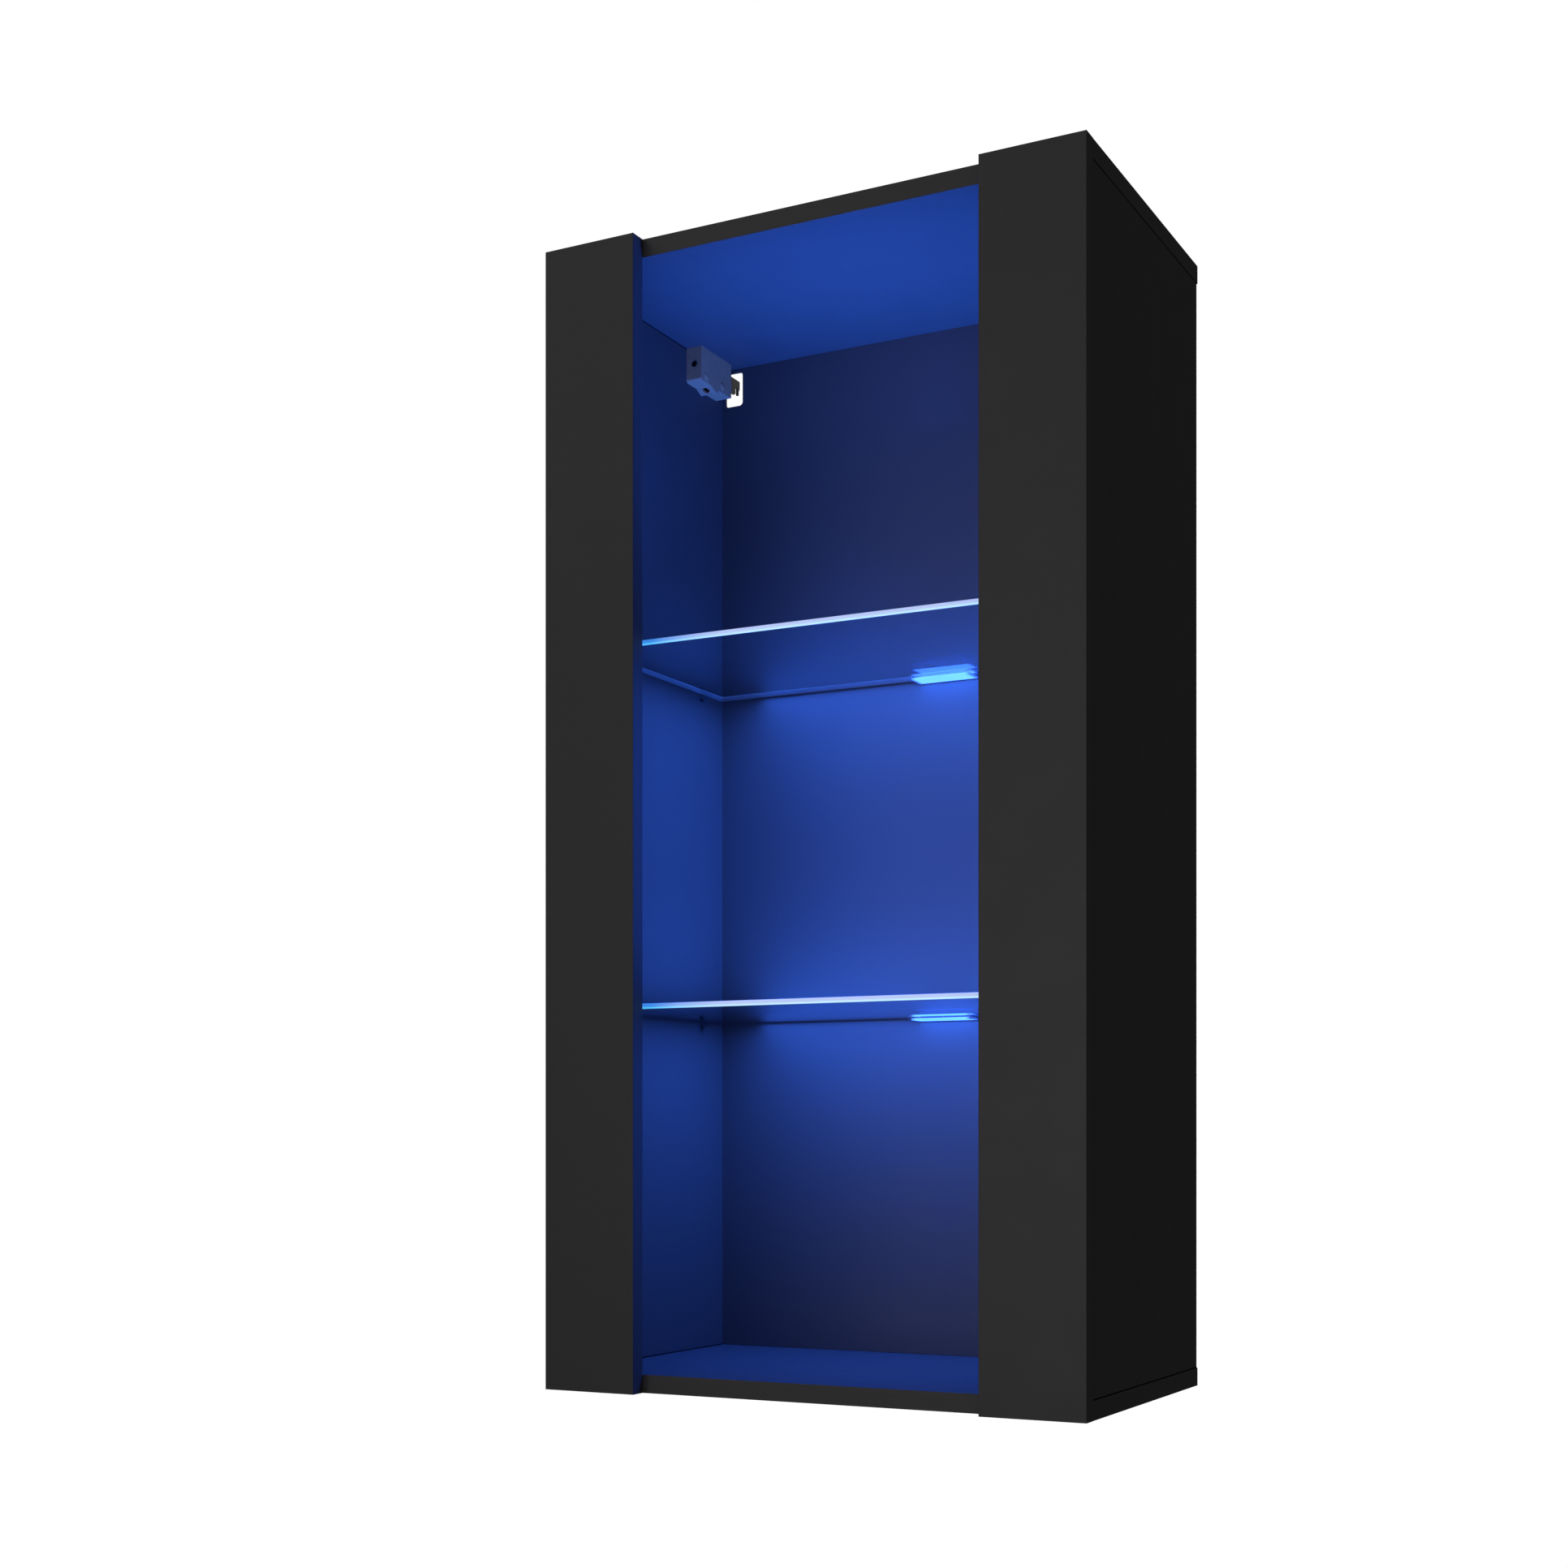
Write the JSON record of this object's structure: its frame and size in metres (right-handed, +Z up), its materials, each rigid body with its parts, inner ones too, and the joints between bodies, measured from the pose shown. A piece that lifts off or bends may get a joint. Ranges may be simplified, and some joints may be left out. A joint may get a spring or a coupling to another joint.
{
  "type": "wall display cabinet",
  "caption": "Tall wall-hung display cabinet, open between two broad front stiles, with glass shelves, clip-on shelf lamps and adjustable wall hangers.",
  "frame": {"origin": "centre of the bounding box's base: on the floor plane of the bottom panel, on the cabinet's mid-plane, halfway between the stiles' front faces and the wall hooks' rear ends", "axes": "+X to the right seen from the front, +Y from the front to the back, +Z up"},
  "size_m": [0.5, 0.3008, 1],
  "materials": {
    "black_laminate": "black melamine-faced chipboard, smooth matt",
    "black_back_board": "black laminated hardboard, matt, raw brown edges at the cut-outs",
    "black_edge_band": "black edge band, satin matt",
    "zinc_plated_steel": "bright zinc plate",
    "cast_zinc": "raw die-cast zinc",
    "black_plastic": "black moulded plastic",
    "beech": "raw beech",
    "shelf_glass": "clear float glass, ground edges",
    "clear_plastic": "clear moulded plastic",
    "lamp_light": "translucent diffuser, lit blue",
    "circuit_white": "white solder mask",
    "led_face": "lit blue light-emitting chips",
    "grey_plastic": "grey moulded plastic, fine texture"
  },
  "bodies": {
    "cabinet": {"back_panel": "black_back_board", "back_panel_nails": "zinc_plated_steel", "bottom_confirmat_screws": "zinc_plated_steel", "bottom_panel": "black_laminate", "bottom_panel_dowels": "beech", "bottom_panel_edge_bands": "black_edge_band", "bottom_screw_caps": "black_plastic", "left_front_stile": "black_laminate", "left_hanger_casing": "grey_plastic", "left_hanger_pegs": "grey_plastic", "left_side_panel": "black_laminate", "left_stile_cam_bolts": "zinc_plated_steel", "left_stile_cam_locks": "cast_zinc", "left_stile_dowels": "beech", "left_stile_edge_bands": "black_edge_band", "lower_shelf_pins": "clear_plastic", "right_front_stile": "black_laminate", "right_hanger_casing": "grey_plastic", "right_hanger_pegs": "grey_plastic", "right_side_panel": "black_laminate", "right_stile_cam_bolts": "zinc_plated_steel", "right_stile_cam_locks": "cast_zinc", "right_stile_dowels": "beech", "right_stile_edge_bands": "black_edge_band", "top_confirmat_screws": "zinc_plated_steel", "top_panel": "black_laminate", "top_panel_dowels": "beech", "top_panel_edge_bands": "black_edge_band", "top_screw_caps": "black_plastic", "upper_shelf_pins": "clear_plastic"},
    "lower_shelf": {"lower_glass_shelf": "shelf_glass"},
    "lower_lamp": {"lower_lamp_housing": "clear_plastic", "lower_lamp_diffusers": "lamp_light", "lower_lamp_circuit": "circuit_white", "lower_lamp_leds": "led_face", "lower_lamp_socket": "black_plastic"},
    "upper_shelf": {"upper_glass_shelf": "shelf_glass"},
    "upper_lamp": {"upper_lamp_housing": "clear_plastic", "upper_lamp_diffusers": "lamp_light", "upper_lamp_circuit": "circuit_white", "upper_lamp_leds": "led_face", "upper_lamp_socket": "black_plastic"},
    "left_depth_screw": {"left_depth_screw": "zinc_plated_steel"},
    "left_height_screw": {"left_height_screw": "zinc_plated_steel"},
    "left_slider": {"left_hanger_slider": "zinc_plated_steel", "left_hook_pivot": "zinc_plated_steel"},
    "left_hook": {"left_wall_hook": "zinc_plated_steel"},
    "right_depth_screw": {"right_depth_screw": "zinc_plated_steel"},
    "right_height_screw": {"right_height_screw": "zinc_plated_steel"},
    "right_slider": {"right_hanger_slider": "zinc_plated_steel", "right_hook_pivot": "zinc_plated_steel"},
    "right_hook": {"right_wall_hook": "zinc_plated_steel"}
  },
  "joints": [
    {"name": "lower_shelf_lift", "type": "slide", "parent": "cabinet", "child": "lower_shelf", "axis": [0, 0, 1], "range_m": [0, 0.3]},
    {"name": "lower_lamp_slide", "type": "slide", "parent": "lower_shelf", "child": "lower_lamp", "axis": [1, 0, 0], "range_m": [-0.205, 0.185]},
    {"name": "upper_shelf_lift", "type": "slide", "parent": "cabinet", "child": "upper_shelf", "axis": [0, 0, 1], "range_m": [0, 0.27]},
    {"name": "upper_lamp_slide", "type": "slide", "parent": "upper_shelf", "child": "upper_lamp", "axis": [1, 0, 0], "range_m": [-0.205, 0.185]},
    {"name": "left_depth_screw_turn", "type": "hinge", "parent": "cabinet", "child": "left_depth_screw", "pos_m": [-0.2256, 0.0712, 0.9684], "axis": [0, 1, 0], "range_deg": [-1800, 1800]},
    {"name": "left_slider_travel", "type": "slide", "parent": "cabinet", "child": "left_slider", "axis": [0, 1, 0], "range_m": [-0.005, 0.005]},
    {"name": "left_height_screw_turn", "type": "hinge", "parent": "cabinet", "child": "left_height_screw", "pos_m": [-0.2256, 0.0928, 0.94915], "axis": [0, 0.3929, 0.9196], "range_deg": [0, 600]},
    {"name": "left_hook_tilt", "type": "hinge", "parent": "left_slider", "child": "left_hook", "pos_m": [-0.2207, 0.1096, 0.9745], "axis": [-1, 0, 0], "range_deg": [0, 6]},
    {"name": "right_depth_screw_turn", "type": "hinge", "parent": "cabinet", "child": "right_depth_screw", "pos_m": [0.2256, 0.0712, 0.9684], "axis": [0, 1, 0], "range_deg": [-1800, 1800]},
    {"name": "right_slider_travel", "type": "slide", "parent": "cabinet", "child": "right_slider", "axis": [0, 1, 0], "range_m": [-0.005, 0.005]},
    {"name": "right_height_screw_turn", "type": "hinge", "parent": "cabinet", "child": "right_height_screw", "pos_m": [0.2256, 0.0928, 0.94915], "axis": [0, 0.3929, 0.9196], "range_deg": [0, 600]},
    {"name": "right_hook_tilt", "type": "hinge", "parent": "right_slider", "child": "right_hook", "pos_m": [0.2207, 0.1096, 0.9745], "axis": [-1, 0, 0], "range_deg": [0, 6]}
  ],
  "couplings": [
    {"joint": "left_depth_screw_turn", "follows": "left_slider_travel", "rad_per_m": -6283},
    {"joint": "left_height_screw_turn", "follows": "left_hook_tilt", "ratio": 100},
    {"joint": "right_depth_screw_turn", "follows": "right_slider_travel", "rad_per_m": -6283},
    {"joint": "right_height_screw_turn", "follows": "right_hook_tilt", "ratio": 100}
  ]
}
